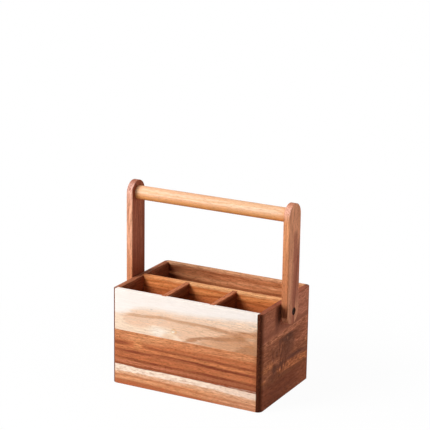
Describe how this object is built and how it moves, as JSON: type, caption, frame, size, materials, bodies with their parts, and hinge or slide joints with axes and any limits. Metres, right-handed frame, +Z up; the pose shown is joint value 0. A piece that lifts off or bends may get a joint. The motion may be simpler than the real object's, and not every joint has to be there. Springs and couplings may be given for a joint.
{
  "type": "utensil caddy",
  "caption": "Open wooden utensil caddy with divided compartments and a swinging carry handle made of a round grip between two flat uprights.",
  "frame": {"origin": "middle of the footprint, on the surface the caddy stands on", "axes": "+X to the right along the box and the pivot axis, +Y to the back, +Z up"},
  "size_m": [0.2608, 0.158, 0.2861],
  "materials": {
    "pale_sapwood": "oiled sapwood with a faint knot figure",
    "streaked_heartwood": "oiled, orange brown with dark streaks",
    "banded_heartwood": "oiled, brown with one pale band",
    "plain_heartwood": "oiled, straight grain",
    "side_heartwood": "oiled, red brown with a smoky figure",
    "floor_wood": "oiled, straight grain",
    "divider_wood": "oiled, orange brown",
    "upright_wood": "oiled, salmon brown",
    "grip_wood": "oiled, honey coloured, turned",
    "dark_steel": "black oxide",
    "plain_steel": "zinc plated"
  },
  "bodies": {
    "caddy": {"front_upper_stave": "pale_sapwood", "front_middle_stave": "streaked_heartwood", "front_lower_stave": "banded_heartwood", "back_upper_stave": "plain_heartwood", "back_middle_stave": "plain_heartwood", "back_lower_stave": "plain_heartwood", "left_upper_stave": "side_heartwood", "left_middle_stave": "side_heartwood", "left_lower_stave": "side_heartwood", "right_upper_stave": "side_heartwood", "right_middle_stave": "side_heartwood", "right_lower_stave": "side_heartwood", "floor_front_stave": "floor_wood", "floor_middle_stave": "floor_wood", "floor_back_stave": "floor_wood", "long_divider_upper": "divider_wood", "long_divider_lower": "divider_wood", "left_cross_divider_upper": "divider_wood", "left_cross_divider_lower": "divider_wood", "right_cross_divider_upper": "divider_wood", "right_cross_divider_lower": "divider_wood", "left_pivot_screw": "dark_steel", "right_pivot_screw": "dark_steel", "left_washer": "plain_steel", "right_washer": "plain_steel"},
    "handle": {"left_upright": "upright_wood", "right_upright": "upright_wood", "grip": "grip_wood"}
  },
  "joints": [
    {"name": "handle_swing", "type": "hinge", "parent": "caddy", "child": "handle", "pos_m": [0, 0, 0.1285], "axis": [1, 0, 0], "range_deg": [-140, 138]}
  ]
}
